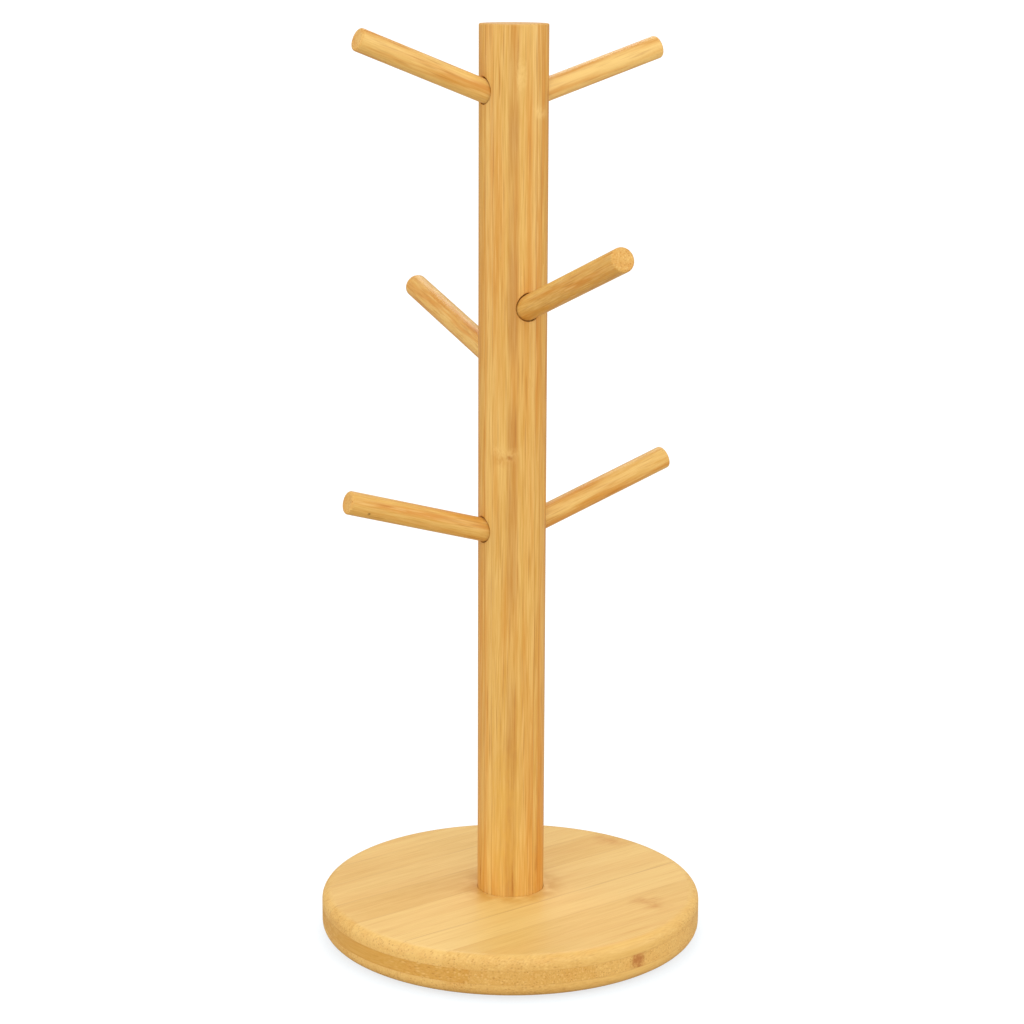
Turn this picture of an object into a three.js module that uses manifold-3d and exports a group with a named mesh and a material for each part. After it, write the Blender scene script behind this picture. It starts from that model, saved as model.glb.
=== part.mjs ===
// A bamboo mug tree, piece by piece: a round base board, one post, six pegs held in the post by
// double-ended steel screws, the screw and washer that hold the post to the board, and four
// anti-slip pads. Millimetres, +Z up. The origin is the middle of the underside, level with the
// soles of the pads.

import * as THREE from "three";
import { mergeVertices } from "three/addons/utils/BufferGeometryUtils.js";
import Module from "manifold-3d";

const wasm = await Module();
wasm.setup();

// Driving dimensions

const TOTAL_HEIGHT = 380;

const PAD = { radius: 8, height: 1.5, edge: 0.4, circleRadius: 60, count: 4, firstHeading: 45 };

const BOARD = { radius: 80, thickness: 17.5, topEdge: 4, bottomEdge: 4.7, recessDepth: 3 };

const POST = { radius: 14, topEdge: 0.6, footEdge: 0.6 };

const PEG = { tipEdge: 1.2, footEdge: 0.5, boreDepth: 14.5 };

// Each peg has the height where its axis meets the post's axis, the heading it points to (degrees
// from +X towards +Y), its upward tilt, the reach of its tip from the post's axis, and its radius.
const PEGS = [
  { place: "top_front", height: 348.7, heading: 207.5, tilt: 21, reach: 73, radius: 4.7 },
  { place: "top_back", height: 349.1, heading: 27.5, tilt: 17.5, reach: 69.5, radius: 4.7 },
  { place: "middle_front", height: 263.5, heading: 298.5, tilt: 20.5, reach: 92.5, radius: 5 },
  { place: "middle_back", height: 240, heading: 118.5, tilt: 16, reach: 92.5, radius: 5 },
  { place: "bottom_front", height: 172, heading: 207.5, tilt: 16, reach: 77, radius: 4.8 },
  { place: "bottom_back", height: 173.2, heading: 27.5, tilt: 19.5, reach: 77, radius: 4.8 },
];

// Sockets are measured from the post's axis, along the peg.
const SOCKET = { floor: 10, mouth: 24, clearance: 0.45, pilotEnd: 2.4 };

const STUD = { crest: 2.5, root: 1.95, collar: 2.2, start: 2.8, end: 24.2, pitch: 2.4 };

const SCREW = {
  crest: 3,
  root: 2.3,
  length: 39,
  point: 5,
  pitch: 2.6,
  plainLength: 12,
  headRadius: 5.3,
  headHeight: 3.4,
  crownRadius: 3,
  keyAcrossFlats: 4,
  keyDepth: 2.2,
};

const WASHER = { radius: 8.4, bore: 3.3, thickness: 1.4 };

const COUNTERBORE = { radius: 9.5, depth: 6.5 };

const THREAD_CLEARANCE = 0.3;
const SEAT_CLEARANCE = 0.3;

const SIDES = { board: 64, post: 48, peg: 24, pad: 24, washer: 24, screw: 18, stud: 10 };

// Heights and radii that follow from them

const boardBottom = PAD.height;
const boardTop = boardBottom + BOARD.thickness;
const recessFloor = boardTop - BOARD.recessDepth;
const counterboreTop = boardBottom + COUNTERBORE.depth;
const washerBottom = counterboreTop - WASHER.thickness;
const studBore = STUD.crest + THREAD_CLEARANCE;
const screwBore = SCREW.crest + THREAD_CLEARANCE;
const pegFoot = SOCKET.floor + SEAT_CLEARANCE;

const materials = {
  board: wood(0xe6bd7d, 0.5),
  post: wood(0xdca75c, 0.45),
  peg: wood(0xe0b065, 0.45),
  steel: new THREE.MeshStandardMaterial({ color: 0xb9bcc0, roughness: 0.35, metalness: 1 }),
  pad: new THREE.MeshStandardMaterial({ color: 0x2a2a2b, roughness: 0.85, metalness: 0 }),
};

function wood(color, roughness) {
  return new THREE.MeshStandardMaterial({ color, roughness, metalness: 0 });
}

// Outlines: lists of [radius, height] points

// A rounded corner: an arc of the given radius about a centre, between two angles in degrees.
function corner(centre, radius, from, to, steps = 4) {
  return Array.from({ length: steps + 1 }, (_, i) => {
    const angle = THREE.MathUtils.degToRad(from + ((to - from) * i) / steps);
    return [centre[0] + radius * Math.cos(angle), centre[1] + radius * Math.sin(angle)];
  });
}

// Thread ridges between two heights: root, crest, root, crest and so on, ending on a root.
function thread(root, crest, from, to, pitch) {
  const turns = Math.max(1, Math.round((to - from) / pitch));
  const step = (to - from) / turns;
  const ridges = Array.from({ length: turns }, (_, i) => [
    [root, from + i * step],
    [crest, from + (i + 0.5) * step],
  ]);
  return [...ridges.flat(), [root, to]];
}

// Solids

// A solid of revolution about Z. The outline runs from the axis, outwards and up, back to the
// axis, or is a closed loop round a bore.
function turned(outline, sides) {
  const points = outline.map(([radius, height]) => new THREE.Vector2(radius, height));
  return new THREE.LatheGeometry(points, sides).rotateX(Math.PI / 2);
}

function solidOf(geometry) {
  const bare = geometry.clone();
  bare.deleteAttribute("normal");
  bare.deleteAttribute("uv");
  const merged = mergeVertices(bare, 1e-4);
  return new wasm.Manifold(
    new wasm.Mesh({
      numProp: 3,
      vertProperties: merged.attributes.position.array,
      triVerts: Uint32Array.from(merged.index.array),
    }),
  );
}

function geometryOf(solid) {
  const { vertProperties, triVerts } = solid.getMesh();
  const geometry = new THREE.BufferGeometry();
  geometry.setAttribute("position", new THREE.BufferAttribute(vertProperties, 3));
  geometry.setIndex(new THREE.BufferAttribute(triVerts, 1));
  geometry.computeVertexNormals();
  return geometry;
}

function cut(geometry, tools) {
  const solid = tools.reduce((left, tool) => left.subtract(solidOf(tool)), solidOf(geometry));
  return geometryOf(solid);
}

function piece(name, geometry, material) {
  const mesh = new THREE.Mesh(geometry, material);
  mesh.name = name;
  return mesh;
}

// Takes what is made along +Z at the origin and lays it along a peg's axis.
function aim(object, peg) {
  const lean = THREE.MathUtils.degToRad(90 - peg.tilt);
  object.position.set(0, 0, peg.height);
  object.rotation.set(0, lean, THREE.MathUtils.degToRad(peg.heading), "ZYX");
  return object;
}

// Base board: rounded over at both edges, with a shallow recess for the post on top, a hole for
// the screw, and a counterbore for its head and washer underneath.
function boardOutline() {
  const { radius, topEdge, bottomEdge } = BOARD;
  const recessRadius = POST.radius + SEAT_CLEARANCE;
  return [
    [screwBore, counterboreTop],
    [COUNTERBORE.radius, counterboreTop],
    [COUNTERBORE.radius, boardBottom],
    ...corner([radius - bottomEdge, boardBottom + bottomEdge], bottomEdge, -90, 0, 5),
    ...corner([radius - topEdge, boardTop - topEdge], topEdge, 0, 90),
    [recessRadius, boardTop],
    [recessRadius, recessFloor],
    [screwBore, recessFloor],
    [screwBore, counterboreTop],
  ];
}

// Post: a plain round bar with a blind hole for the screw in its foot.
function postOutline() {
  const { radius, topEdge, footEdge } = POST;
  const boreTop = washerBottom + SCREW.length + 2;
  return [
    [0, boreTop],
    [screwBore, boreTop],
    [screwBore, recessFloor],
    [radius - footEdge, recessFloor],
    [radius, recessFloor + footEdge],
    ...corner([radius - topEdge, TOTAL_HEIGHT - topEdge], topEdge, 0, 90, 3),
    [0, TOTAL_HEIGHT],
  ];
}

// What a drill takes out of the post for one peg: a flat-bottomed socket with a pilot hole beyond.
function socketTool(peg) {
  const socketRadius = peg.radius + SOCKET.clearance;
  const tool = turned(
    [
      [0, SOCKET.pilotEnd],
      [studBore, SOCKET.pilotEnd],
      [studBore, SOCKET.floor],
      [socketRadius, SOCKET.floor],
      [socketRadius, SOCKET.mouth],
      [0, SOCKET.mouth],
    ],
    SIDES.peg,
  );
  const place = aim(new THREE.Object3D(), peg);
  place.updateMatrix();
  return tool.applyMatrix4(place.matrix);
}

// Peg: a plain round bar with a softened tip and a blind hole for its screw in the inner end.
function pegOutline({ reach, radius }) {
  const { tipEdge, footEdge, boreDepth } = PEG;
  return [
    [0, pegFoot + boreDepth],
    [studBore, pegFoot + boreDepth],
    [studBore, pegFoot],
    [radius - footEdge, pegFoot],
    [radius, pegFoot + footEdge],
    ...corner([radius - tipEdge, reach - tipEdge], tipEdge, 0, 90, 3),
    [0, reach],
  ];
}

// Double-ended screw: a short thread for the post, a plain collar, and a longer thread for the peg.
function studOutline() {
  const { crest, root, collar, start, end, pitch } = STUD;
  const collarStart = SOCKET.floor - 0.4;
  const collarEnd = pegFoot + 1.6;
  return [
    [0, start],
    ...thread(root, crest, start, collarStart, pitch),
    [collar, collarStart + 0.3],
    [collar, collarEnd - 0.3],
    ...thread(root, crest, collarEnd, end, pitch),
    [0, end],
  ];
}

// Button-head wood screw, head down: crown, bearing face, plain shank, thread and point.
function screwOutline() {
  const { crest, root, length, point, pitch, plainLength } = SCREW;
  const { headRadius, headHeight, crownRadius } = SCREW;
  const crown = washerBottom - headHeight;
  const tip = washerBottom + length;
  const threadStart = washerBottom + plainLength;
  return [
    [0, crown],
    [crownRadius, crown],
    [headRadius - 0.7, crown + 1.1],
    [headRadius, crown + 2.4],
    [headRadius, washerBottom],
    [crest, washerBottom],
    [crest, threadStart - 0.6],
    ...thread(root, crest, threadStart, tip - point, pitch),
    [0, tip],
  ];
}

function keySocketTool() {
  const { keyAcrossFlats, keyDepth, headHeight } = SCREW;
  const radius = keyAcrossFlats / 2 / Math.cos(Math.PI / 6);
  const tool = new THREE.CylinderGeometry(radius, radius, 2 * keyDepth, 6).rotateX(Math.PI / 2);
  return tool.translate(0, 0, washerBottom - headHeight);
}

function washerOutline() {
  const { radius, bore } = WASHER;
  return [
    [bore, washerBottom],
    [radius, washerBottom],
    [radius, counterboreTop],
    [bore, counterboreTop],
    [bore, washerBottom],
  ];
}

function padOutline() {
  const { radius, height, edge } = PAD;
  return [[0, 0], ...corner([radius - edge, edge], edge, -90, 0, 3), [radius, height], [0, height]];
}

// Assembly

function footing() {
  const group = new THREE.Group();
  const screw = cut(turned(screwOutline(), SIDES.screw), [keySocketTool()]);
  group.add(piece("base_board", turned(boardOutline(), SIDES.board), materials.board));
  group.add(piece("base_screw", screw, materials.steel));
  group.add(piece("base_washer", turned(washerOutline(), SIDES.washer), materials.steel));
  for (let i = 0; i < PAD.count; i += 1) {
    const heading = THREE.MathUtils.degToRad(PAD.firstHeading + (360 / PAD.count) * i);
    const pad = piece(`foot_pad_${i + 1}`, turned(padOutline(), SIDES.pad), materials.pad);
    pad.position.set(PAD.circleRadius * Math.cos(heading), PAD.circleRadius * Math.sin(heading), 0);
    group.add(pad);
  }
  return group;
}

function arm(peg) {
  const group = aim(new THREE.Group(), peg);
  group.add(piece(`peg_${peg.place}`, turned(pegOutline(peg), SIDES.peg), materials.peg));
  group.add(piece(`stud_${peg.place}`, turned(studOutline(), SIDES.stud), materials.steel));
  return group;
}

const post = cut(turned(postOutline(), SIDES.post), PEGS.map(socketTool));

const mugTree = new THREE.Group();
mugTree.add(footing());
mugTree.add(piece("post", post, materials.post));
PEGS.forEach((peg) => mugTree.add(arm(peg)));

export default mugTree;
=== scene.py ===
"""A bamboo mug tree: round three-ply board, laminated post, six pegs in drilled sockets, screws and pads.

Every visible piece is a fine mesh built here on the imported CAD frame, with procedural materials whose grain
runs through the solid: streaks where a face follows the fibre and dots where it cuts across it.
"""

import math

import bmesh
import bpy
from mathutils import Matrix, Vector


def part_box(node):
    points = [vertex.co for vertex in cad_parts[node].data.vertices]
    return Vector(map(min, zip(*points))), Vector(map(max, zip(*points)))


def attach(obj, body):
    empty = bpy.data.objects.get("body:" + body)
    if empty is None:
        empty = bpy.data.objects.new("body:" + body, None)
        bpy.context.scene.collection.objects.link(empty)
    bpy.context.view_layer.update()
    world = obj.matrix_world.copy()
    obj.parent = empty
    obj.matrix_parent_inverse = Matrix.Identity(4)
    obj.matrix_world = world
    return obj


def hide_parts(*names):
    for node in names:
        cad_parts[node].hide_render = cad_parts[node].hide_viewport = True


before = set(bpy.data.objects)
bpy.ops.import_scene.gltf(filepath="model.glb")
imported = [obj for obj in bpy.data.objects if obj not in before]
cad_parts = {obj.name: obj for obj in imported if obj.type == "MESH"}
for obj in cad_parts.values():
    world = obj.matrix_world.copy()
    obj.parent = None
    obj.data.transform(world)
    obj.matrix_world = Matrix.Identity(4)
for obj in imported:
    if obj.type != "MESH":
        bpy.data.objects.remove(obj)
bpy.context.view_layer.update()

MM = 0.001
BODY = "root"

# ---------------------------------------------------------------- driving dimensions, in millimetres
BOARD = {"bore": 3.3, "counterbore": 9.5, "counterbore_depth": 6.5, "counterbore_edge": 0.2, "recess": 14.1,
         "recess_depth": 3.0, "recess_edge": 0.1, "top_edge": 4.0, "bottom_edge": 4.7}
POST = {"edge": 0.6, "bore": 3.3, "bore_end": 47.6}
PEG = {"tip_edge": 1.2, "foot_edge": 0.5, "bore": 2.8, "bore_depth": 14.5}
SOCKET = {"clearance": 0.45, "floor": 10.0, "mouth": 24.0, "chamfer": 0.25, "pilot": 2.8, "pilot_end": 2.4}
PAD = {"count": 4, "edge": 0.4}
WASHER = {"bore": 3.3, "edge": 0.2}

# A stud's collar, like a socket, is placed along its peg, from the post's axis. Its tapers are (share of the
# root's radius at the end, length). The base screw's shoulder is (share of the root's radius, distance from
# the tip).
STUD = {"root": 1.95, "crest": 2.5, "collar": 2.2, "pitch": 2.4, "collar_start": 9.6, "collar_end": 11.9,
        "inner_taper": (0.7, 0.5), "outer_taper": (0.4, 0.9)}
SCREW = {"root": 2.3, "crest": 3.0, "pitch": 2.6, "plain_length": 12.0, "runout": 0.6, "fade": 4.0,
         "point": 5.0, "shoulder": (0.6, 2.0), "head_radius": 5.3, "head_height": 3.4, "head_chamfer": 0.1,
         "crown_radius": 2.9, "crown_height": 2.6, "key_across_flats": 4.0, "key_depth": 2.2,
         "key_chamfer": 0.1, "key_mouth": 2.7}

# Mesh fineness: sides round the axis, steps in a rounded edge, and the longest step along an outline in mm.
# A rounded edge also has a point on each straight side, EDGE_RUN times its radius from the corner. A thread
# has THREAD_ROWS rings a turn, and its ridge takes THREAD_RIDGE of the pitch.
BOARD_SIDES, POST_SIDES, SOCKET_SIDES, SMALL_SIDES = 256, 160, 96, 72
EDGE_STEPS = 7
EDGE_RUN = 1.3
LONGEST_STEP = 4.0
THREAD_ROWS, THREAD_SIDES, THREAD_RIDGE = 14, 36, 0.75
SHARP_ANGLE = math.radians(32)
ON_AXIS = 1e-6

PEG_PLACES = ["top_front", "top_back", "middle_front", "middle_back", "bottom_front", "bottom_back"]


# ---------------------------------------------------------------- meshes
def eased(corners, closed=False):
    """An outline of (radius, height) from corners (radius, height, easing), each rounded by an arc."""
    count = len(corners)
    points = []
    for i, (radius, height, easing) in enumerate(corners):
        here = Vector((radius, height))
        if not easing or (not closed and i in (0, count - 1)):
            points.append(here)
            continue
        before = (Vector(corners[i - 1][:2]) - here).normalized()
        after = (Vector(corners[(i + 1) % count][:2]) - here).normalized()
        centre = here + (before + after) * easing
        points.append(here + before * easing * EDGE_RUN)
        for step in range(EDGE_STEPS + 1):
            turn = step / EDGE_STEPS * math.pi / 2
            points.append(centre - (after * math.cos(turn) + before * math.sin(turn)) * easing)
        points.append(here + after * easing * EDGE_RUN)
    return points


def divided(points, closed=False):
    """The outline with its long straight stretches cut into even steps."""
    ends = points[1:] + points[:1] if closed else points[1:]
    result = []
    for start, end in zip(points, ends):
        steps = max(1, math.ceil((end - start).length / LONGEST_STEP))
        result += [start.lerp(end, step / steps) for step in range(steps)]
    return result if closed else result + [points[-1]]


def turned(name, outline, sides, closed=False):
    """A solid turned about local Z. A radius or height in the outline may be a function of the angle."""
    def at(value, angle):
        return value(angle) if callable(value) else value

    def spot(radius, height, angle):
        reach = at(radius, angle)
        return (reach * math.cos(angle) * MM, reach * math.sin(angle) * MM, at(height, angle) * MM)

    mesh = bmesh.new()
    rings = []
    for radius, height in outline:
        single = not callable(radius) and radius < ON_AXIS
        angles = [0.0] if single else [2 * math.pi * side / sides for side in range(sides)]
        rings.append([mesh.verts.new(spot(radius, height, angle)) for angle in angles])
    pairs = list(zip(rings, rings[1:]))
    if closed:
        pairs.append((rings[-1], rings[0]))
    for lower, upper in pairs:
        for side in range(sides):
            following = (side + 1) % sides
            corners = [lower[side % len(lower)], lower[following % len(lower)],
                       upper[following % len(upper)], upper[side % len(upper)]]
            unique = list(dict.fromkeys(corners))
            if len(unique) > 2:
                mesh.faces.new(unique)
    bmesh.ops.recalc_face_normals(mesh, faces=mesh.faces)
    return mesh_object(name, mesh)


def mesh_object(name, mesh):
    """Makes an object of the finished bmesh and puts it in the scene."""
    data = bpy.data.meshes.new(name)
    mesh.to_mesh(data)
    mesh.free()
    piece = bpy.data.objects.new(name, data)
    bpy.context.scene.collection.objects.link(piece)
    return piece


def add_piece(piece, node, material, place=None):
    """Puts a piece in the place of its CAD node on the one body, smooth but for its real corners."""
    piece.data.shade_smooth()
    piece.data.set_sharp_from_angle(angle=SHARP_ANGLE)
    piece.data.materials.clear()
    piece.data.materials.append(material)
    if place is not None:
        piece.matrix_world = place
    bpy.context.view_layer.update()
    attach(piece, BODY)
    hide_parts(node)


# ---------------------------------------------------------------- what the frame says
def node_box(name):
    """Lowest and highest corner of a CAD node, in mm."""
    low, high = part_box(name)
    return Vector(low) / MM, Vector(high) / MM


def node_points(name):
    """The corners of a CAD node's mesh, in mm."""
    return [Vector(corner.co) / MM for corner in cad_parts[name].data.vertices]


def peg_frame(place):
    """Where a peg stands, read off its CAD node: its frame, its foot, its tip and its radius, in mm.

    The frame's origin is on the post's axis, its Z runs out along the peg and its X is level.
    """
    points = node_points("peg_" + place)
    middle = sum(points, Vector()) / len(points)
    outward = Vector((middle.x, middle.y, 0)).normalized()
    level = Vector((-outward.y, outward.x, 0))
    lean = sum((p - middle).dot(outward) * (p - middle).z for p in points)
    spread = sum((p - middle).dot(outward) ** 2 - (p - middle).z ** 2 for p in points)
    tilt = math.atan2(2 * lean, spread) / 2
    axis = outward * math.cos(tilt) + Vector((0, 0, math.sin(tilt)))
    origin = middle - axis * (middle.dot(outward) / math.cos(tilt))
    along = [(p - origin).dot(axis) for p in points]
    radius = max((p - origin - axis * s).length for p, s in zip(points, along))
    across = axis.cross(level)
    matrix = Matrix((level, across, axis)).transposed().to_4x4()
    matrix.translation = origin * MM
    return {"matrix": matrix, "foot": min(along), "tip": max(along), "radius": radius, "tilt": tilt}


# ---------------------------------------------------------------- shader graphs
class Graph:
    """The nodes of a material or a world, with short calls that make a node and return its output."""

    def __init__(self, owner):
        owner.use_nodes = True
        self.owner = owner
        self.tree = owner.node_tree

    def node(self, kind, inputs=(), **settings):
        node = self.tree.nodes.new(kind)
        for key, value in settings.items():
            setattr(node, key, value)
        for key, value in dict(inputs).items():
            self.set(node.inputs[key], value)
        return node

    def set(self, socket, value):
        if isinstance(value, bpy.types.NodeSocket):
            self.tree.links.new(value, socket)
        else:
            socket.default_value = value

    def set_all(self, name, inputs):
        """Sets inputs of a node that the tree already has, such as the shader."""
        for key, value in inputs.items():
            self.set(self.tree.nodes[name].inputs[key], value)

    def math(self, operation, *values):
        return self.node("ShaderNodeMath", enumerate(values), operation=operation).outputs[0]

    def times(self, first, *others):
        """A product."""
        for other in others:
            first = self.math("MULTIPLY", first, other)
        return first

    def plus(self, base, value, share=None):
        """The base with a value added, or only a share of it."""
        return self.math("ADD", base, value if share is None else self.times(value, share))

    def distance(self, a, b):
        """How far apart two numbers are."""
        return self.math("ABSOLUTE", self.math("SUBTRACT", a, b))

    def reach(self, x, y):
        """How far a point is from the Z axis."""
        return self.math("SQRT", self.math("ADD", self.times(x, x), self.times(y, y)))

    def blend(self, factor, a, b):
        """A number between a and b."""
        inputs = {"Factor": factor, 2: a, 3: b}
        return self.node("ShaderNodeMix", inputs, data_type="FLOAT").outputs[0]

    def tint(self, factor, a, b):
        """A colour between a and b."""
        inputs = {0: factor, 6: a, 7: b}
        return self.node("ShaderNodeMix", inputs, data_type="RGBA", blend_type="MIX").outputs[2]

    def step(self, value, start, end):
        """0 below start and 1 above end, smooth between; start may be the higher one."""
        inputs = {"Value": value, "From Min": start, "From Max": end}
        return self.node("ShaderNodeMapRange", inputs, interpolation_type="SMOOTHSTEP").outputs[0]

    def vector(self, x, y, z):
        return self.node("ShaderNodeCombineXYZ", {"X": x, "Y": y, "Z": z}).outputs[0]

    def scaled(self, parts, scale):
        """A vector of numbers that are all multiplied by the same scale."""
        return self.vector(*[self.times(part, scale) for part in parts])

    def noise(self, vector, detail=2.0, roughness=0.5):
        inputs = {"Vector": vector, "Scale": 1.0, "Detail": detail, "Roughness": roughness}
        return self.node("ShaderNodeTexNoise", inputs).outputs["Fac"]

    def swing(self, noise):
        """A noise that goes from its middle, so that it is below zero as often as above."""
        return self.math("SUBTRACT", noise, 0.5)

    def cells(self, vector):
        """Voronoi cells, one to a unit."""
        inputs = {"Vector": vector, "Scale": 1.0, "Randomness": 1.0}
        return self.node("ShaderNodeTexVoronoi", inputs).outputs

    def red(self, shade):
        """The first part of a colour, as a number."""
        return self.node("ShaderNodeSeparateColor", {"Color": shade}).outputs[0]

    def random(self, seed):
        """A random number for a whole number."""
        noise = self.node("ShaderNodeTexWhiteNoise", {"W": seed}, noise_dimensions="1D")
        return self.red(noise.outputs["Color"])

    def bump(self, height, strength, depth):
        """A rough surface whose relief is depth mm."""
        inputs = {"Height": height, "Strength": strength, "Distance": depth * MM}
        return self.node("ShaderNodeBump", inputs).outputs[0]

    def place(self):
        """The point being shaded, in the piece's own frame, in mm."""
        spot = self.node("ShaderNodeTexCoord").outputs["Object"]
        parts = self.node("ShaderNodeSeparateXYZ", {"Vector": spot}).outputs
        return [self.times(part, 1 / MM) for part in parts]

    def normal(self):
        """The way the surface faces, in the piece's own frame."""
        faces = self.node("ShaderNodeTexCoord").outputs["Normal"]
        return self.node("ShaderNodeSeparateXYZ", {"Vector": faces}).outputs


def material_graph(name):
    return Graph(bpy.data.materials.new(name))


def colour(red, green, blue):
    """A shader colour from 0 to 255 screen values."""
    def linear(value):
        value /= 255
        return value / 12.92 if value <= 0.04045 else ((value + 0.055) / 1.055) ** 2.4
    return (linear(red), linear(green), linear(blue), 1.0)


# ---------------------------------------------------------------- bamboo
PALE = colour(242, 202, 122)
HONEY = colour(210, 153, 56)
AMBER = colour(211, 136, 36)
BROWN = colour(166, 90, 14)
SCAR = colour(202, 132, 44)
SPECK = colour(92, 52, 18)
KNOT = colour(176, 96, 36)
CUT = colour(222, 168, 86)
YELLOW = colour(226, 176, 78)

# The layers of the grain: cells or waves per mm across the fibres, and far fewer per mm along them. A bundle
# is solid up to one distance from its middle and gone at the other, in cells. BEND sways the fibres a little
# sideways, and SEED_SHIFT moves the grain along from strip to strip, so that no two are alike.
DARK_BUNDLES = {"fineness": 1.25, "stretch": 0.045, "solid": 0.1, "gone": 0.6}
LIGHT_BUNDLES = {"fineness": 1.15, "stretch": 0.05, "solid": 0.15, "gone": 0.7}
FINE_FIBRES = {"fineness": 2.6, "stretch": 0.06, "detail": 2.5, "roughness": 0.65}
BROAD_STREAKS = {"fineness": 0.4, "stretch": 0.012, "detail": 2.0, "roughness": 0.5}
WARM_STREAKS = {"fineness": 0.22, "stretch": 0.01, "detail": 2.0, "roughness": 0.5}
BUNDLE_CONTRAST = 1.5
BEND = {"along": 0.02, "across": 0.08, "reach": 1.6}
SEED_SHIFT = 17.3

# Where the mixed tone runs from pale to honey, where warmth starts to show, and from where to where a face
# turns from one that follows the fibres to one that cuts them. A cut face has more of the fine fibres' tone
# and less of the glue's.
TONE_RANGE = (-0.3, 1.3)
WARM_RANGE = (0.4, 0.75)
CUT_RANGE = (0.08, 0.55)
CUT_FINE, CUT_GLUE = 1.8, 0.4

# The lacquer over it: its roughness on plain wood and what fibres, cut ends and dark bundles add; its gloss;
# and how much fibres raise the surface and dark bundles and glue lines lower it.
ROUGHNESS = {"plain": 0.36, "fine": 0.16, "cut": 0.15, "dark": 0.08}
GLOSS = {"Specular IOR Level": 0.35, "Coat Weight": 0.08, "Coat Roughness": 0.22}
RELIEF = {"fine": 0.6, "dark": -0.5, "glue": -0.5, "strength": 0.5, "depth": 0.04}

# Glue lines beside a strip of the board: where they end and up to where they are solid, in mm from the edge.
# PATCHES is how they come and go along it.
GLUE_WIDTH = 0.8
GLUE_SOLID = 0.05
PATCHES = {"stretch": 0.02, "detail": 1.0, "from": 0.3, "to": 0.7}

# A scar: its cloud in waves per mm and how far the cloud sways it, its blots, the share of its width that
# fades at each side, and how strong it is between the blots.
SCAR_CLOUD = {"across": 0.16, "along": 0.1, "detail": 1.0, "sway": 1.6}
SCAR_BLOTS = {"stretch": 0.45, "from": 0.3, "to": 0.7}
SCAR_MARGIN = 0.35
SCAR_LEAST = 0.35


def strips(g, across, plan):
    """Glued strips at a point: how many edges lie below it, the strip's tone, the glue line's strength."""
    count, line = 0.0, 0.0
    before = tone = plan["first_tone"]
    for edge, strip_tone, share in plan["edges"]:
        past = g.math("GREATER_THAN", across, edge)
        count = g.plus(count, past)
        tone = g.plus(tone, past, strip_tone - before)
        near = g.step(g.distance(across, edge), GLUE_WIDTH, GLUE_SOLID)
        line = g.math("MAXIMUM", line, g.times(near, share))
        before = strip_tone
    return count, tone, line


def glue_patches(g, along, seed):
    """1 where a glue line shows and 0 where it doesn't."""
    patchy = g.noise(g.vector(g.times(along, PATCHES["stretch"]), seed, 0.0), PATCHES["detail"])
    return g.step(patchy, PATCHES["from"], PATCHES["to"])


def scar_mask(g, along, across, depth, position, start, end, length, fineness):
    """How strong a scar is at a point: a soft, wavering, blotted band across one strip."""
    spot = g.vector(g.times(across, SCAR_CLOUD["across"]), g.times(along, SCAR_CLOUD["along"]), position)
    cloud = g.noise(spot, SCAR_CLOUD["detail"])
    blots = g.noise(g.vector(g.times(across, fineness), g.times(along, fineness * SCAR_BLOTS["stretch"]),
                             g.plus(position, depth, fineness)))
    moved = g.plus(along, g.swing(cloud), length * SCAR_CLOUD["sway"])
    band = g.step(g.distance(moved, position), length, 0.0)
    margin = (end - start) * SCAR_MARGIN
    sides = g.times(g.step(across, start, start + margin), g.step(across, end, end - margin))
    mottled = g.plus(SCAR_LEAST, g.step(blots, SCAR_BLOTS["from"], SCAR_BLOTS["to"]), 1.0 - SCAR_LEAST)
    return g.times(band, sides, mottled)


def scar_stains(g, along, across, depth, scars, where):
    """The scars of one set of strips, as (mask, colour) pairs, kept to the places where `where` is 1."""
    stains = []
    for *shape, stain, share in scars:
        mask = scar_mask(g, along, across, depth, *shape)
        stains.append((g.times(mask, share, where), stain))
    return stains


def fibres(g, along, across, depth, seed):
    """Bamboo's grain at one point: dark and light bundles, fine, broad and warm streaks, all 0 to 1."""
    shift = g.times(seed, SEED_SHIFT)
    bend = g.noise(g.vector(g.times(along, BEND["along"]), g.times(across, BEND["across"]), shift))
    across = g.plus(across, g.swing(bend), BEND["reach"])

    def spot(layer):
        return g.vector(g.times(across, layer["fineness"]), g.times(depth, layer["fineness"]),
                        g.plus(shift, along, layer["stretch"]))

    def bundles(layer):
        cells = g.cells(spot(layer))
        strength = g.math("POWER", g.red(cells["Color"]), BUNDLE_CONTRAST)
        return g.times(g.step(cells["Distance"], layer["gone"], layer["solid"]), strength)

    def streaks(layer):
        return g.noise(spot(layer), layer["detail"], layer["roughness"])

    return {"dark": bundles(DARK_BUNDLES), "light": bundles(LIGHT_BUNDLES), "fine": streaks(FINE_FIBRES),
            "broad": streaks(BROAD_STREAKS), "warmth": streaks(WARM_STREAKS)}


def bamboo_colour(g, grain, tone, glue, scars, cut, look):
    """The strip's tone from pale to honey, with warmth, end grain, bundles, glue lines, scars and painted
    shade over it.
    """
    mixed = g.plus(tone, g.swing(grain["broad"]), look["broad"])
    fine_share = g.blend(cut, look["fine"], look["fine"] * CUT_FINE)
    mixed = g.plus(mixed, g.swing(grain["fine"]), fine_share)
    body = g.tint(g.step(mixed, *TONE_RANGE), PALE, HONEY)
    body = g.tint(g.times(g.step(grain["warmth"], *WARM_RANGE), look["warm"]), body, AMBER)
    body = g.tint(g.times(cut, look["end"]), body, CUT)
    body = g.tint(g.times(grain["light"], g.plus(look["light"], cut, look["specks"])), body, PALE)
    body = g.tint(g.times(grain["dark"], g.plus(look["dark"], cut, look["dots"])), body, BROWN)
    body = g.tint(g.times(glue, g.blend(cut, look["glue"], look["glue"] * CUT_GLUE)), body, BROWN)
    # On the board the last of these is the painted shade round the post's foot.
    for mask, stain in scars:
        body = g.tint(mask, body, stain)
    return body


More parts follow.
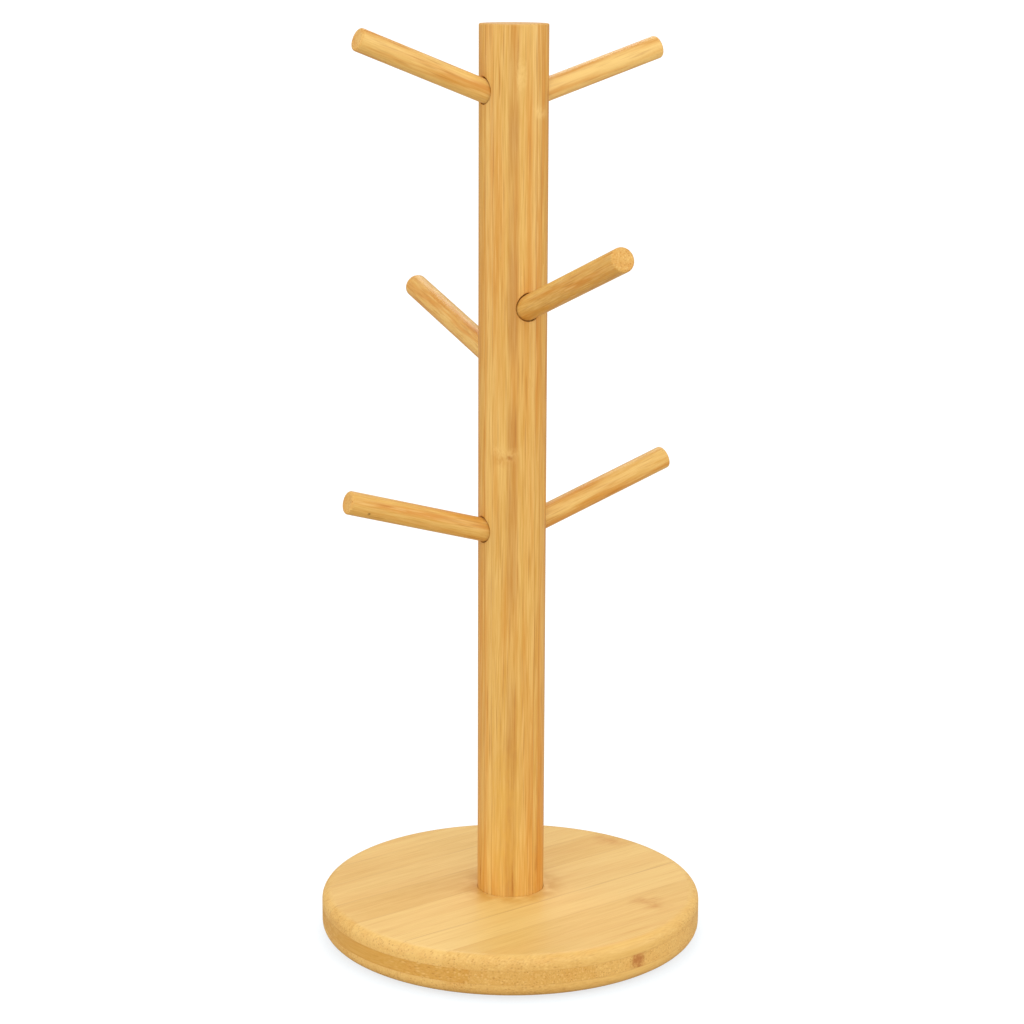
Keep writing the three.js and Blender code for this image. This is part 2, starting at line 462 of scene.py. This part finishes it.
def bamboo(g, grain, tone, glue, scars, end, look):
    """Dresses a material as lacquered bamboo.

    end is 1 where the face cuts square across the fibres and 0 where it follows them.
    """
    cut = g.step(end, *CUT_RANGE)
    rough = g.plus(ROUGHNESS["plain"], grain["fine"], ROUGHNESS["fine"])
    rough = g.plus(rough, cut, ROUGHNESS["cut"])
    height = g.plus(g.times(grain["fine"], RELIEF["fine"]), grain["dark"], RELIEF["dark"])
    height = g.plus(height, glue, RELIEF["glue"])
    g.set_all("Principled BSDF", {
        "Base Color": bamboo_colour(g, grain, tone, glue, scars, cut, look),
        "Roughness": g.plus(rough, grain["dark"], ROUGHNESS["dark"]),
        "Normal": g.bump(height, RELIEF["strength"], RELIEF["depth"]),
        **GLOSS,
    })
    return g.owner


# How strongly each kind of mark shows. broad and fine shift the tone, dots and specks are what a cut face
# adds to dark and light, and the rest are shares of the mark's own colour.
BOARD_LOOK = {"broad": 0.3, "fine": 0.9, "warm": 0.2, "light": 0.25, "dark": 0.14, "dots": 0.35,
              "specks": 0.55, "end": 0.25, "glue": 0.45}
POST_LOOK = {"broad": 0.5, "fine": 1.5, "warm": 0.7, "light": 0.55, "dark": 0.4, "dots": 0.1,
             "specks": -0.2, "end": 0.5, "glue": 0.5}
PEG_LOOK = {"broad": 0.6, "fine": 1.7, "warm": 0.8, "light": 0.6, "dark": 0.35, "dots": 0.2,
            "specks": 0.0, "end": 0.5, "glue": 0.0}

# The board: three plies, the outer two with the grain at one heading and the core across it. The edges
# between strips are (place in mm across the grain, tone of the strip past it, strength of the glue line).
# Scars, which also make stains and pale patches, are (place along the grain, start and end across it, half
# length, fineness, colour, share of it). TOP_SKIN is how far down from the top the painted shade round the
# post's foot reaches.
BOARD_HEADING = math.radians(39)
PLY = {"count": 3, "seed": 11.0, "line_width": 0.5, "line_solid": 0.05, "line_share": 0.4}
# Painted shade on the board's top round the post's foot: it fades from the inner to the outer radius, in mm,
# and a cloud makes it patchy.
FOOT_SHADE = {"inner": 14.5, "outer": 26.0, "share": 0.75, "cloud": 0.12, "slice": 3.0, "from": 0.3,
             "to": 0.6}
TOP_SKIN = 0.5
FACE_STRIPS = {"first_tone": 0.3, "edges": [
    (-64.0, 0.25, 0.2), (-41.5, -0.1, 0.3), (-22.7, 0.05, 1.0), (5.0, 0.4, 0.4), (26.0, 0.15, 0.6),
    (46.0, 0.3, 0.5), (63.0, 0.15, 0.4),
]}
CORE_STRIPS = {"first_tone": 0.85, "edges": [
    (-62.0, 0.5, 0.3), (-38.0, 0.55, 0.4), (-19.0, 0.35, 0.3), (1.0, 0.3, 0.3), (21.0, 0.2, 0.3),
    (40.0, 0.35, 0.3), (59.0, 0.3, 0.3),
]}
FACE_SCARS = [(33.0, -64.0, -41.5, 9.0, 0.45, SCAR, 0.7), (68.5, 5.0, 26.0, 8.0, 0.45, SCAR, 0.6),
              (-42.0, -1.0, 30.0, 40.0, 0.12, HONEY, 0.3)]
CORE_SCARS = [(-80.0, -3.5, 7.0, 9.0, 0.4, KNOT, 0.75), (80.0, 20.0, 30.0, 8.0, 0.4, KNOT, 0.6)]


def to_heading(g, x, y):
    """How far a point or direction goes along the face plies' grain, and how far across it."""
    cosine, sine = math.cos(BOARD_HEADING), math.sin(BOARD_HEADING)
    return (g.plus(g.times(x, cosine), y, sine), g.math("SUBTRACT", g.times(y, cosine), g.times(x, sine)))


def painted_foot_shade(g, x, y, where):
    """Painted shade round the foot of the post, where the post shades the board, patchy and fading outwards.
    """
    fading = g.step(g.reach(x, y), FOOT_SHADE["outer"], FOOT_SHADE["inner"])
    scale = FOOT_SHADE["cloud"]
    cloud = g.noise(g.vector(g.times(x, scale), g.times(y, scale), FOOT_SHADE["slice"]))
    return g.times(fading, g.step(cloud, FOOT_SHADE["from"], FOOT_SHADE["to"]), where, FOOT_SHADE["share"])


def board_material(low, high):
    g = material_graph("bamboo_board")
    x, y, z = g.place()
    normal = g.normal()
    ply_height = (high - low) / PLY["count"]
    level = g.math("DIVIDE", g.math("SUBTRACT", z, low), ply_height)
    core = g.times(g.math("GREATER_THAN", level, 1.0), g.math("LESS_THAN", level, PLY["count"] - 1.0))
    with_grain, cross_grain = to_heading(g, x, y)
    along = g.blend(core, with_grain, cross_grain)
    across = g.blend(core, cross_grain, with_grain)
    face_count, face_tone, face_line = strips(g, cross_grain, FACE_STRIPS)
    core_count, core_tone, core_line = strips(g, with_grain, CORE_STRIPS)
    seed = g.plus(g.blend(core, face_count, core_count), g.math("FLOOR", level), PLY["seed"])
    strip_lines = g.times(g.blend(core, face_line, core_line), glue_patches(g, along, seed))
    ply_near = g.math("MINIMUM", *[g.distance(z, low + ply_height * ply) for ply in range(1, PLY["count"])])
    ply_lines = g.times(g.step(ply_near, PLY["line_width"], PLY["line_solid"]), PLY["line_share"])
    glue = g.math("MAXIMUM", strip_lines, ply_lines)
    tone = g.blend(core, face_tone, core_tone)
    scars = scar_stains(g, with_grain, cross_grain, z, FACE_SCARS, g.math("SUBTRACT", 1.0, core))
    scars += scar_stains(g, cross_grain, with_grain, z, CORE_SCARS, core)
    # Painted shade round the post's foot, tinted honey, on the board's top only.
    scars.append((painted_foot_shade(g, x, y, g.math("GREATER_THAN", z, high - TOP_SKIN)), HONEY))
    face_end, core_end = to_heading(g, normal[0], normal[1])
    end = g.math("ABSOLUTE", g.blend(core, face_end, core_end))
    return bamboo(g, fibres(g, along, across, z, seed), tone, glue, scars, end, BOARD_LOOK)


# The post: layers glued front to back, each of wide strips side by side, and browner towards its sides. Its
# scars are placed by height and from left to right, on the front half.
LAYERS = {"thickness": 5.6, "in_front": 2.0, "strip": 17.4, "start": -8.1, "stagger": 0.37, "seed": 7.0,
          "glue_width": 0.28, "glue_solid": 0.04, "tone": 0.38, "tone_range": 0.3}
SIDE = {"start": 8.5, "end": 13.0, "tone": 0.18, "warm": 0.08}
POST_SCARS = [
    (208.0, -10.0, 4.0, 5.0, 1.3, SCAR, 0.6),
    (209.5, -11.0, 5.0, 4.0, 1.5, PALE, 0.6),
    (207.0, -2.6, 0.6, 1.8, 0.6, BROWN, 0.9),
    (346.0, 7.0, 14.0, 4.0, 1.0, PALE, 0.7),
    (361.0, 0.0, 6.0, 14.0, 1.4, PALE, 0.65),
    (50.0, -11.0, 6.0, 60.0, 0.4, YELLOW, 0.55),
    (26.0, 0.4, 1.4, 9.0, 0.3, BROWN, 0.6),
    (33.0, 9.8, 11.6, 11.0, 0.3, BROWN, 0.5),
    (28.0, -13.1, -12.2, 9.0, 0.3, BROWN, 0.6),
    (26.0, 7.5, 14.0, 20.0, 0.3, AMBER, 0.45),
]


def post_material():
    g = material_graph("bamboo_post")
    x, y, z = g.place()
    level = g.math("DIVIDE", y, LAYERS["thickness"])
    layer = g.math("ROUND", level)
    moved = g.math("DIVIDE", g.math("SUBTRACT", x, LAYERS["start"]), LAYERS["strip"])
    moved = g.plus(moved, g.plus(layer, LAYERS["in_front"]), LAYERS["stagger"])
    beside = g.times(g.distance(moved, g.math("ROUND", moved)), LAYERS["strip"])
    between = g.times(g.math("SUBTRACT", 0.5, g.distance(level, layer)), LAYERS["thickness"])
    near = g.step(g.math("MINIMUM", beside, between), LAYERS["glue_width"], LAYERS["glue_solid"])
    seed = g.plus(g.times(layer, LAYERS["seed"]), g.math("FLOOR", moved))
    glue = g.times(near, glue_patches(g, z, seed))
    side = g.step(g.math("ABSOLUTE", x), SIDE["start"], SIDE["end"])
    tone = g.plus(g.plus(LAYERS["tone"], g.random(seed), LAYERS["tone_range"]), side, SIDE["tone"])
    scars = scar_stains(g, z, x, y, POST_SCARS, g.math("LESS_THAN", y, 0.0))
    grain = fibres(g, z, x, y, seed)
    grain["warmth"] = g.plus(grain["warmth"], side, SIDE["warm"])
    return bamboo(g, grain, tone, glue, scars, g.math("ABSOLUTE", g.normal()[2]), POST_LOOK)


# The pegs: round sticks of one piece each, paler or browner, with shorter streaks than the post.
PEG_SHORTER = 1.8
PEG_SEED = 40.0
PEG_TONES = {"top_front": 0.2, "top_back": -0.2, "middle_front": 0.65, "middle_back": 0.4,
             "bottom_front": 0.5, "bottom_back": 0.4}
PEG_SCARS = {"bottom_front": [(68.6, -3.2, -1.8, 0.9, 0.6, SPECK, 1.0)]}


def peg_material(place, number):
    g = material_graph("bamboo_peg_" + place)
    x, y, z = g.place()
    grain = fibres(g, g.times(z, PEG_SHORTER), x, y, number + PEG_SEED)
    scars = scar_stains(g, z, y, x, PEG_SCARS.get(place, []), g.math("GREATER_THAN", x, 0.0))
    return bamboo(g, grain, PEG_TONES[place], 0.0, scars, g.math("ABSOLUTE", g.normal()[2]), PEG_LOOK)


# ---------------------------------------------------------------- steel and foam
ZINC = {"cloud": 0.5, "speck": 4.0, "detail": 4.0, "cool": colour(186, 190, 196),
        "warm": colour(214, 212, 204), "rough": 0.22, "speck_rough": 0.25, "relief": 0.3, "depth": 0.02}
FOAM = {"cell": 3.0, "cloud": 0.3, "detail": 3.0, "dark": colour(34, 34, 36), "light": colour(58, 57, 56),
        "rough": 0.7, "cell_rough": 0.2, "relief": 0.8, "depth": 0.1}


def steel_material():
    g = material_graph("zinc_steel")
    place = g.place()
    cloud = g.noise(g.scaled(place, ZINC["cloud"]))
    speck = g.noise(g.scaled(place, ZINC["speck"]), ZINC["detail"])
    g.set_all("Principled BSDF", {
        "Base Color": g.tint(cloud, ZINC["cool"], ZINC["warm"]),
        "Roughness": g.plus(ZINC["rough"], speck, ZINC["speck_rough"]),
        "Normal": g.bump(speck, ZINC["relief"], ZINC["depth"]),
        "Metallic": 1.0,
    })
    return g.owner


def foam_material():
    g = material_graph("pad_foam")
    x, y, z = g.place()
    cells = g.cells(g.scaled((x, y, z), FOAM["cell"]))["Distance"]
    cloud = g.noise(g.vector(g.times(x, FOAM["cloud"]), g.times(y, FOAM["cloud"]), z), FOAM["detail"])
    g.set_all("Principled BSDF", {
        "Base Color": g.tint(cloud, FOAM["dark"], FOAM["light"]),
        "Roughness": g.plus(FOAM["rough"], cells, FOAM["cell_rough"]),
        "Normal": g.bump(cells, FOAM["relief"], FOAM["depth"]),
    })
    return g.owner


# ---------------------------------------------------------------- pieces
def make_board():
    low, high = node_box("base_board")
    outline = eased([
        (BOARD["bore"], low.z + BOARD["counterbore_depth"], 0.0),
        (BOARD["counterbore"], low.z + BOARD["counterbore_depth"], 0.0),
        (BOARD["counterbore"], low.z, BOARD["counterbore_edge"]),
        (high.x, low.z, BOARD["bottom_edge"]),
        (high.x, high.z, BOARD["top_edge"]),
        (BOARD["recess"], high.z, BOARD["recess_edge"]),
        (BOARD["recess"], high.z - BOARD["recess_depth"], 0.0),
        (BOARD["bore"], high.z - BOARD["recess_depth"], 0.0),
    ], closed=True)
    piece = turned("base_board_bamboo", divided(outline, closed=True), BOARD_SIDES, closed=True)
    add_piece(piece, "base_board", board_material(low.z, high.z))


def socket_cutter(peg, post_radius):
    """The space of one socket and its pilot bore, with a small chamfer that follows the post's side."""
    tilt = peg["tilt"]

    def surface(radius, beyond):
        def height(angle):
            inward = math.sqrt(post_radius ** 2 - (radius * math.cos(angle)) ** 2)
            return (inward + radius * math.sin(angle) * math.sin(tilt)) / math.cos(tilt) + beyond
        return height

    radius, chamfer = peg["radius"] + SOCKET["clearance"], SOCKET["chamfer"]
    wide = radius + 2 * chamfer
    outline = [
        (0.0, SOCKET["pilot_end"]),
        (SOCKET["pilot"], SOCKET["pilot_end"]),
        (SOCKET["pilot"], SOCKET["floor"]),
        (radius, SOCKET["floor"]),
        (radius, surface(radius, -chamfer)),
        (wide, surface(wide, chamfer)),
        (wide, SOCKET["mouth"]),
        (0.0, SOCKET["mouth"]),
    ]
    cutter = turned("socket_cutter", outline, SOCKET_SIDES)
    cutter.data.transform(peg["matrix"])
    return cutter


def drill(piece, cutters):
    """Cuts the cutters' shapes out of a piece and removes them."""
    for number, cutter in enumerate(cutters):
        cut = piece.modifiers.new(f"socket_{number}", "BOOLEAN")
        cut.operation = "DIFFERENCE"
        cut.solver = "EXACT"
        cut.object = cutter
    bpy.context.view_layer.update()
    evaluated = piece.evaluated_get(bpy.context.evaluated_depsgraph_get())
    drilled = bpy.data.meshes.new_from_object(evaluated)
    piece.modifiers.clear()
    piece.data = drilled
    for cutter in cutters:
        bpy.data.objects.remove(cutter)


def make_post(pegs):
    low, high = node_box("post")
    outline = eased([
        (0.0, POST["bore_end"], 0.0),
        (POST["bore"], POST["bore_end"], 0.0),
        (POST["bore"], low.z, 0.0),
        (high.x, low.z, POST["edge"]),
        (high.x, high.z, POST["edge"]),
        (0.0, high.z, 0.0),
    ])
    piece = turned("post_bamboo", divided(outline), POST_SIDES)
    drill(piece, [socket_cutter(peg, high.x) for peg in pegs.values()])
    add_piece(piece, "post", post_material())


def make_peg(place, peg, number):
    outline = eased([
        (0.0, peg["foot"] + PEG["bore_depth"], 0.0),
        (PEG["bore"], peg["foot"] + PEG["bore_depth"], 0.0),
        (PEG["bore"], peg["foot"], 0.0),
        (peg["radius"], peg["foot"], PEG["foot_edge"]),
        (peg["radius"], peg["tip"], PEG["tip_edge"]),
        (0.0, peg["tip"], 0.0),
    ])
    piece = turned(f"peg_{place}_bamboo", divided(outline), SMALL_SIDES)
    add_piece(piece, "peg_" + place, peg_material(place, number), peg["matrix"])


def make_pads(material):
    for number in range(1, PAD["count"] + 1):
        node = f"foot_pad_{number}"
        low, high = node_box(node)
        radius = (high.x - low.x) / 2
        centre = (low + high) / 2
        outline = eased([
            (0.0, 0.0, 0.0),
            (radius, 0.0, PAD["edge"]),
            (radius, high.z, PAD["edge"]),
            (0.0, high.z, 0.0),
        ])
        piece = turned(node + "_foam", divided(outline), SMALL_SIDES)
        place = Matrix.Translation((centre.x * MM, centre.y * MM, 0))
        add_piece(piece, node, material, place)


def make_washer(material):
    low, high = node_box("base_washer")
    outline = eased([
        (WASHER["bore"], low.z, WASHER["edge"]),
        (high.x, low.z, WASHER["edge"]),
        (high.x, high.z, WASHER["edge"]),
        (WASHER["bore"], high.z, WASHER["edge"]),
    ], closed=True)
    piece = turned("base_washer_steel", divided(outline, closed=True), SMALL_SIDES, closed=True)
    add_piece(piece, "base_washer", material)


def threaded(start, end, root, crest, pitch, fade_in, fade_out):
    """Outline points of a helical thread between two heights, its ridge fading away at the chosen ends."""
    def radius_at(height):
        def radius(angle):
            phase = (height / pitch - angle / (2 * math.pi)) % 1.0
            ridge = max(0.0, 1.0 - abs(phase - 0.5) * 2 / THREAD_RIDGE)
            grown = 1.0
            if fade_in:
                grown = min(grown, (height - start) / fade_in)
            if fade_out:
                grown = min(grown, (end - height) / fade_out)
            return root + (crest - root) * ridge * max(0.0, grown)
        return radius

    rows = math.ceil((end - start) / pitch * THREAD_ROWS)
    heights = [start + (end - start) * row / rows for row in range(rows + 1)]
    return [(radius_at(height), height) for height in heights]


def make_studs(pegs, material):
    """Double-ended screws: a short thread in the post, a plain collar, and a longer thread in the peg."""
    root, crest, collar, pitch = STUD["root"], STUD["crest"], STUD["collar"], STUD["pitch"]
    inner_share, inner_length = STUD["inner_taper"]
    outer_share, outer_length = STUD["outer_taper"]
    for place, peg in pegs.items():
        to_peg = peg["matrix"].inverted()
        heights = [(to_peg @ (point * MM)).z / MM for point in node_points("stud_" + place)]
        start, end = min(heights), max(heights)
        outline = [(0.0, start), (root * inner_share, start)]
        outline += threaded(start + inner_length, STUD["collar_start"], root, crest, pitch, pitch, 0.0)
        outline += [(collar, STUD["collar_start"]), (collar, STUD["collar_end"])]
        outline += threaded(STUD["collar_end"], end - outer_length, root, crest, pitch, 0.0, pitch)
        outline += [(root * outer_share, end), (0.0, end)]
        piece = turned(f"stud_{place}_steel", outline, THREAD_SIDES)
        add_piece(piece, "stud_" + place, material, peg["matrix"])


def screw_head(bottom):
    """Outline of a button head, head down: the six-sided key socket, the crown and the bearing face."""
    flat = SCREW["key_across_flats"] / 2
    crown, head, chamfer = SCREW["crown_radius"], SCREW["head_radius"], SCREW["head_chamfer"]
    seat = bottom + SCREW["head_height"]

    def key(angle):
        return flat / math.cos((angle % (math.pi / 3)) - math.pi / 6)

    outline = [(0.0, bottom + SCREW["key_depth"]), (key, bottom + SCREW["key_depth"]),
               (key, bottom + SCREW["key_chamfer"]), (SCREW["key_mouth"], bottom)]
    for step in range(EDGE_STEPS + 1):
        turn = step / EDGE_STEPS * math.pi / 2
        outline.append((crown + (head - crown) * math.sin(turn),
                        bottom + SCREW["crown_height"] * (1 - math.cos(turn))))
    return outline + [(head, seat - chamfer), (head - chamfer, seat), (SCREW["crest"], seat)]


def make_base_screw(material):
    """Button-head screw, head down, with a plain shank, a thread and a point."""
    low, high = node_box("base_screw")
    root, crest = SCREW["root"], SCREW["crest"]
    share, below_tip = SCREW["shoulder"]
    thread_start = low.z + SCREW["head_height"] + SCREW["plain_length"]
    thread_end = high.z - SCREW["point"]
    outline = screw_head(low.z) + [(crest, thread_start - SCREW["runout"])]
    outline += threaded(thread_start, thread_end, root, crest, SCREW["pitch"], 0.0, SCREW["fade"])
    outline += [(root * share, high.z - below_tip), (0.0, high.z)]
    piece = turned("base_screw_steel", outline, SMALL_SIDES)
    add_piece(piece, "base_screw", material)


# ---------------------------------------------------------------- camera, floor and light, in metres
CAMERA = {"place": (0.0, -1.0285, 0.4128), "down": 0.22083, "roll": 0.00427, "lens": 89.88, "sensor": 36.0}

WHITE = (1.0, 1.0, 1.0, 1.0)
FLOOR = {"radius": 20.0, "sides": 128, "near": 0.079, "far": 0.095, "glow_near": 0.66, "glow": 1.15,
         "seen_near": (0.66, 0.82, 0.96, 1.0), "seen_far": (0.9, 0.9, 0.9, 1.0),
         "unseen": (0.56, 0.5, 0.42, 1.0)}

WORLD = {"seen": 1.0, "mirrored": 0.5, "ambient": 0.6}

LIGHT_AIM = Vector((0.0, 0.0, 0.17))
SOFTBOXES = [
    {"name": "key", "place": (0.3, -1.7, 1.3), "size": 2.4, "power": 17.5},
    {"name": "fill", "place": (-0.9, -1.3, 0.9), "size": 1.6, "power": 3.5},
    {"name": "top", "place": (0.0, 0.1, 1.8), "size": 1.6, "power": 1.2},
    {"name": "left", "place": (-1.6, -0.3, 0.7), "size": 1.6, "power": 7.0},
    {"name": "right", "place": (1.6, -0.3, 0.7), "size": 1.6, "power": 8.0},
    {"name": "back", "place": (0.0, 1.7, 1.9), "size": 1.2, "power": 10.0},
]


def make_camera():
    data = bpy.data.cameras.new("camera")
    data.lens = CAMERA["lens"]
    data.sensor_width = CAMERA["sensor"]
    camera = bpy.data.objects.new("camera", data)
    bpy.context.scene.collection.objects.link(camera)
    turn = Matrix.Rotation(math.pi / 2 - CAMERA["down"], 4, "X") @ Matrix.Rotation(CAMERA["roll"], 4, "Z")
    camera.matrix_world = Matrix.Translation(CAMERA["place"]) @ turn
    bpy.context.scene.camera = camera


def floor_material():
    """White that glows a little, more so away from the object, so that it ends as plain white.

    The camera sees it slightly blue near the object, which keeps the shadow neutral beside the warm light
    off the bamboo. To other rays it is a warm grey without a glow, so that undersides aren't too bright.
    """
    g = material_graph("floor")
    x, y, _ = g.place()
    open_floor = g.step(g.times(g.reach(x, y), MM), FLOOR["near"], FLOOR["far"])
    seen = g.node("ShaderNodeLightPath").outputs["Is Camera Ray"]
    paint = g.tint(seen, FLOOR["unseen"], g.tint(open_floor, FLOOR["seen_near"], FLOOR["seen_far"]))
    matte = g.node("ShaderNodeBsdfDiffuse", {"Color": paint}).outputs[0]
    glow = g.node("ShaderNodeEmission", {"Color": WHITE, "Strength": FLOOR["glow"]}).outputs[0]
    share = g.times(seen, g.blend(open_floor, FLOOR["glow_near"], 1.0))
    mixed = g.node("ShaderNodeMixShader", {0: share, 1: matte, 2: glow}).outputs[0]
    g.set_all("Material Output", {"Surface": mixed})
    return g.owner


def make_floor():
    mesh = bmesh.new()
    bmesh.ops.create_circle(mesh, cap_ends=True, segments=FLOOR["sides"], radius=FLOOR["radius"])
    floor = mesh_object("floor", mesh)
    floor.data.materials.append(floor_material())


def make_world():
    """Plain white to look at, dimmer as ambient light, and dimmer still in reflections."""
    world = bpy.data.worlds.new("studio")
    bpy.context.scene.world = world
    g = Graph(world)
    ray = g.node("ShaderNodeLightPath").outputs
    level = g.blend(ray["Is Glossy Ray"], WORLD["ambient"], WORLD["mirrored"])
    level = g.blend(ray["Is Camera Ray"], level, WORLD["seen"])
    g.set_all("Background", {"Color": WHITE, "Strength": level})


def make_lights():
    for box in SOFTBOXES:
        data = bpy.data.lights.new(box["name"], "AREA")
        data.shape = "DISK"
        data.size = box["size"]
        data.energy = box["power"]
        light = bpy.data.objects.new(box["name"], data)
        light.location = box["place"]
        light.rotation_euler = (LIGHT_AIM - Vector(box["place"])).to_track_quat("-Z", "Y").to_euler()
        bpy.context.scene.collection.objects.link(light)


# ---------------------------------------------------------------- the scene
make_camera()
make_world()
make_floor()
make_lights()
bpy.context.scene.view_settings.view_transform = "Standard"

pegs = {place: peg_frame(place) for place in PEG_PLACES}
steel = steel_material()
make_board()
make_post(pegs)
for number, (place, peg) in enumerate(pegs.items()):
    make_peg(place, peg, number)
make_pads(foam_material())
make_washer(steel)
make_studs(pegs, steel)
make_base_screw(steel)
